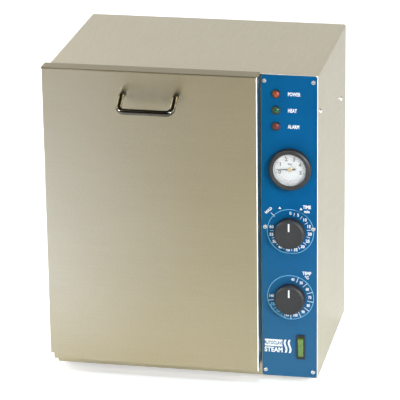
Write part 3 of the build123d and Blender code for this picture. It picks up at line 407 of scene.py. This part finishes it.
# ---------------------------------------------------------------- knob scales
TIMER_AT, HEAT_AT = face_centre("timer_knob"), face_centre("temperature_knob")
KNOB_R = (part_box("timer_knob")[1].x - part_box("timer_knob")[0].x) / 2
RING_R = 0.0315
FIGURE_R = 0.0263
STROKE = 0.0007
TIMER_TRAVEL, TIMER_FIGURES = 282, 13
TIMER_STEP = TIMER_TRAVEL / (TIMER_FIGURES - 1)
HEAT_START, HEAT_STEP, HEAT_FIGURES = 7.0, 26.5, 11
COOL_START, COOL_STOP = 200, 250
HOLD_ANGLE, ARROW_ANGLE = -46, 23.5

figures = bmesh.new()
cool_figures = bmesh.new()


def tick(mesh, centre, degrees, inner, outer):
    """A stroke along the radius at that clock angle."""
    bar(mesh, clock(centre, inner, degrees), clock(centre, outer, degrees), STROKE, PANEL_Y)


def heat_mesh(degrees):
    """The mesh for the thermostat's print at that clock angle, where the cool zone has its own."""
    return cool_figures if COOL_START < degrees < COOL_STOP else figures


for i in range(TIMER_FIGURES):
    angle = TIMER_STEP * i
    x, z = clock(TIMER_AT, FIGURE_R, angle)
    words(figures, str(5 * i), x, z, 0.0040, PANEL_Y, weight=0.00028, wide=0.92)
    if i < TIMER_FIGURES - 1:
        tick(figures, TIMER_AT, angle + TIMER_STEP / 2, KNOB_R + 0.0022, FIGURE_R + 0.0012)
for i in range(HEAT_FIGURES):
    angle = HEAT_START + HEAT_STEP * i
    x, z = clock(HEAT_AT, FIGURE_R, angle)
    words(heat_mesh(angle), str(40 + 10 * i), x, z, 0.0038, PANEL_Y, weight=0.00026, wide=0.76)
    if i < HEAT_FIGURES - 1:
        halfway = angle + HEAT_STEP / 2
        tick(heat_mesh(halfway), HEAT_AT, halfway, KNOB_R + 0.0028, RING_R - 0.0003)
for side in (-1, 1):
    x, z = clock(TIMER_AT, RING_R + 0.0045, side * ARROW_ANGLE)
    flat(figures, [(x - 0.0020, z - 0.0014), (x + 0.0020, z - 0.0014), (x, z + 0.0018)], PANEL_Y)
x, z = clock(TIMER_AT, RING_R + 0.0098, HOLD_ANGLE)
tick(figures, TIMER_AT, HOLD_ANGLE, RING_R - 0.0020, RING_R + 0.0052)
words(figures, "HOLD", x, z, 0.0032, PANEL_Y, turn=-44, weight=0.00024, wide=0.86)
for (x, z), title, unit in ((TIMER_AT, "TIME", "min"), (HEAT_AT, "TEMP", "\u00b0C")):
    words(figures, title, x + 0.0222, z + 0.0360, 0.0044, PANEL_Y, wide=0.74)
    words(figures, unit, x + 0.0222, z + 0.0298, 0.0038, PANEL_Y, weight=0.00028, wide=0.90)
piece("scale_figures", figures, "print_white", "case")
piece("cool_zone_figures", cool_figures, "print_blue", "case")

# Thicker stretches of the rings: centre, how far inside the ring, width, start and stop angle.
STRETCHES = (
    (HEAT_AT, 0.0006, 0.0020, 192, 248),
    (TIMER_AT, 0.0003, 0.0014, 168, 198),
    (TIMER_AT, 0.0001, 0.0011, 12, 48),
)
rings = bmesh.new()
for centre in (TIMER_AT, HEAT_AT):
    arc(rings, centre, RING_R, STROKE, 0, 360, PANEL_Y)
for centre, inset, width, start, stop in STRETCHES:
    arc(rings, centre, RING_R - inset, width, start, stop, PANEL_Y)
piece("scale_rings", rings, "print_blue", "case")

for name, body, (x, z) in (("timer", "timer", TIMER_AT), ("temperature", "thermostat", HEAT_AT)):
    pointer = bmesh.new()
    knob_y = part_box(f"{name}_knob")[0].y
    bar(pointer, (x, z + 0.0050), (x, z + 0.0162), 0.0021, knob_y, rise=0.00015)
    piece(f"{name}_pointer", pointer, "print_white", body)

# ---------------------------------------------------------------- panel label
LABEL_X, LABEL_Z = PANEL_LOW.x + 0.0036, PANEL_LOW.z + 0.0340
PLATE_END = LABEL_X + 0.0242
PLATE_FOOT, PLATE_HEAD = LABEL_Z + 0.0094, LABEL_Z + 0.0194
PLATE_X, PLATE_Z = (LABEL_X + PLATE_END) / 2, (PLATE_FOOT + PLATE_HEAD) / 2
WAVE_W, WAVE_H, WAVE_POINTS = 0.0026, 0.0192, 12

plate = bmesh.new()
flat(plate, [(LABEL_X, PLATE_FOOT), (PLATE_END, PLATE_FOOT), (PLATE_END, PLATE_HEAD), (LABEL_X, PLATE_HEAD)],
     PANEL_Y)
words(plate, "STEAM", PLATE_X, LABEL_Z + 0.0044, 0.0066, PANEL_Y, weight=0.00040, wide=0.84)
for wave_x in (LABEL_X + 0.0284, LABEL_X + 0.0340):
    shares = [k / WAVE_POINTS for k in range(WAVE_POINTS + 1)]
    spine = [
        (wave_x + WAVE_W / 2 * math.sin(2 * math.pi * s), LABEL_Z + 0.0006 + WAVE_H * s) for s in shares
    ]
    left_side = [(x - WAVE_W / 2, z) for x, z in spine]
    right_side = [(x + WAVE_W / 2, z) for x, z in spine]
    flat(plate, left_side + right_side[::-1], PANEL_Y)
piece("panel_label", plate, "print_white", "case")

plate_text = bmesh.new()
words(plate_text, "AUTOCLAVE", PLATE_X, PLATE_Z, 0.0048, PANEL_Y - PRINT, weight=0.00022, wide=0.62)
piece("panel_label_text", plate_text, "panel_blue", "case")

# ---------------------------------------------------------------- gauge
GAUGE_AT = face_centre("gauge_dial")
DIAL_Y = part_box("gauge_dial")[0].y
NEEDLE_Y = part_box("gauge_needle")[0].y
GAUGE_R = 0.0212
GAUGE_START, GAUGE_SWEEP, GAUGE_STEPS = -107.0, 214.0, 25
HUB_PROFILE = ((0, 0.0002), (0.0030, 0.0002), (0.0030, -0.0002), (0.0024, -0.0005), (0, -0.0006))

scale = bmesh.new()
arc(scale, GAUGE_AT, GAUGE_R, 0.0003, GAUGE_START, GAUGE_START + GAUGE_SWEEP, DIAL_Y)
for i in range(GAUGE_STEPS + 1):
    angle = GAUGE_START + GAUGE_SWEEP * i / GAUGE_STEPS
    major = i % 5 == 0
    inner, width = (0.0182, 0.0006) if major else (0.0196, 0.0003)
    bar(scale, clock(GAUGE_AT, GAUGE_R, angle), clock(GAUGE_AT, inner, angle), width, DIAL_Y)
    if major:
        x, z = clock(GAUGE_AT, 0.0147, angle)
        words(scale, str(i // 5), x, z, 0.0050, DIAL_Y, weight=0.00026)
words(scale, "bar", GAUGE_AT[0], GAUGE_AT[1] + 0.0072, 0.0032, DIAL_Y, weight=0.00012)
arc(scale, GAUGE_AT, 0.0168, 0.0004, 150, 210, DIAL_Y)
piece("gauge_scale", scale, "print_black", "case")

hub = bmesh.new()
lathe(hub, GAUGE_AT, [(radius, NEEDLE_Y + y) for radius, y in HUB_PROFILE])
piece("needle_hub", hub, "brass", "needle")

# ---------------------------------------------------------------- floor
moulded("floor_paint", (0.84, 0.84, 0.84), (0.88, 0.88, 0.88), 0.75, 0.85, grain=300.0, glow=0.38)
floor_mesh = bmesh.new()
bmesh.ops.create_grid(floor_mesh, x_segments=24, y_segments=24, size=9.0)
floor_data = bpy.data.meshes.new("floor")
floor_mesh.to_mesh(floor_data)
floor_mesh.free()
floor_data.materials.append(LOOKS["floor_paint"])
floor = bpy.data.objects.new("floor", floor_data)
scene.collection.objects.link(floor)

# ---------------------------------------------------------------- sky
# The top of the case mirrors the back of the sky.
FRONT_SKY, BACK_SKY, CEILING = (0.05, 0.045, 0.035), (1.06, 1.07, 1.09), (0.14, 0.135, 0.12)

sky = bpy.data.worlds.new("studio")
scene.world = sky
sky.use_nodes = True
sky_tree = sky.node_tree
direction = sky_tree.nodes.new("ShaderNodeSeparateXYZ")
sky_tree.links.new(sky_tree.nodes.new("ShaderNodeTexCoord").outputs["Generated"], direction.inputs[0])


def sky_mix(axis, start, stop, one, other):
    """Sky colour one below start on that axis of the direction, other above stop."""
    span = sky_tree.nodes.new("ShaderNodeMapRange")
    span.interpolation_type = "SMOOTHSTEP"
    span.inputs["From Min"].default_value = start
    span.inputs["From Max"].default_value = stop
    mix = sky_tree.nodes.new("ShaderNodeMix")
    mix.data_type = "RGBA"
    sky_tree.links.new(direction.outputs[axis], span.inputs["Value"])
    sky_tree.links.new(span.outputs["Result"], mix.inputs["Factor"])
    feed(sky_tree, mix.inputs[6], one)
    feed(sky_tree, mix.inputs[7], other)
    return mix.outputs[2]


round_about = sky_mix("X", 0.3, 0.7, sky_mix("Y", -0.2, 0.5, FRONT_SKY, BACK_SKY), BACK_SKY)
whole_sky = sky_mix("Z", 0.40, 0.66, round_about, CEILING)
sky_tree.links.new(whole_sky, sky_tree.nodes["Background"].inputs["Color"])

# ---------------------------------------------------------------- lamps
# The steel is a dull mirror of the floor, so the spots aimed at the floor in front shade the door,
# and the boxes at either side shade the sides.
WHITE, WARM, PALE = (1.0, 1.0, 1.0), (1.0, 0.88, 0.68), (0.72, 0.81, 0.86)
DAY, COOL = (0.62, 0.83, 1.0), (0.42, 0.56, 1.0)


def shine(name, kind, place, aim, power, colour, glint=False, **settings):
    """A studio lamp that isn't seen directly. A glint lamp only shows as a highlight on shiny pieces."""
    lamp = bpy.data.lights.new(name, kind)
    lamp.energy = power
    lamp.color = colour
    for key, value in settings.items():
        setattr(lamp, key, value)
    holder = bpy.data.objects.new(name, lamp)
    holder.location = place
    holder.rotation_euler = (Vector(place) - Vector(aim)).to_track_quat("Z", "Y").to_euler()
    holder.visible_camera = False
    holder.visible_diffuse = not glint
    scene.collection.objects.link(holder)


def softbox(name, place, aim, power, colour, width, glint=False):
    """A square lamp of that width."""
    shine(name, "AREA", place, aim, power, colour, glint, size=width)


def spot(name, place, aim, power, colour, angle, fade, radius):
    """A cone of light that many degrees wide, fading towards its rim, from a lamp of that radius."""
    shine(name, "SPOT", place, aim, power, colour,
          spot_size=math.radians(angle), spot_blend=fade, shadow_soft_size=radius)


softbox("left_box", (-1.7, 0.6, 1.3), (-0.2, 0.4, 0.0), 28, WHITE, 1.9)
softbox("right_box", (1.7, 0.2, 0.9), (0.3, 0.0, 0.0), 16, PALE, 1.1)
softbox("back_left_box", (-1.6, 2.1, 1.2), (-0.1, 1.8, 0.0), 20, WHITE, 1.3)
softbox("back_right_box", (1.8, 2.1, 1.2), (0.5, 1.9, 0.0), 9, PALE, 1.3)
softbox("low_right_box", (1.9, -0.25, 0.72), (0.1, -0.12, 0.22), 9, PALE, 1.3)
softbox("low_left_box", (-1.9, -0.25, 0.72), (-0.2, -0.12, 0.22), 7, WHITE, 1.3)
spot("wash_spot", (-0.9, -1.6, 2.4), (-0.15, -0.85, 0.0), 34, WARM, 46, 0.8, 0.30)
spot("key_spot", (-1.2, -1.0, 1.6), (-0.51, -0.54, 0.0), 760, COOL, 24, 1.0, 0.12)
spot("near_spot", (0.3, -1.1, 1.8), (0.0, -0.25, 0.0), 55, DAY, 28, 0.9, 0.15)
softbox("right_glint", (1.5, -1.7, 1.1), (0.0, -0.14, 0.38), 50, WHITE, 0.6, glint=True)
softbox("left_glint", (-1.6, -1.1, 1.1), (-0.05, -0.14, 0.38), 50, WHITE, 0.6, glint=True)
spot("front_spot", (2.3, -2.2, 1.6), (0.1, -0.1, 0.25), 235, WHITE, 16, 0.6, 0.25)

# ---------------------------------------------------------------- camera
YAW, PITCH, ROLL = (math.radians(a) for a in (11.590, 19.631, -0.792))
EYE = CASE_LOW + Vector((0.8767, -3.2791, 1.4427))
FOCAL_MM, SENSOR_MM = 238.3, 36.0

back = Vector((math.sin(YAW) * math.cos(PITCH), -math.cos(YAW) * math.cos(PITCH), math.sin(PITCH)))
level = Vector((0, 0, 1)).cross(back).normalized()
rise = back.cross(level)
right = math.cos(ROLL) * level + math.sin(ROLL) * rise
up = math.cos(ROLL) * rise - math.sin(ROLL) * level
lens = bpy.data.cameras.new("camera")
lens.lens = FOCAL_MM
lens.sensor_width = SENSOR_MM
lens.clip_end = 40.0
camera = bpy.data.objects.new("camera", lens)
camera.matrix_world = Matrix.Translation(EYE) @ Matrix((right, up, back)).transposed().to_4x4()
scene.collection.objects.link(camera)
scene.camera = camera
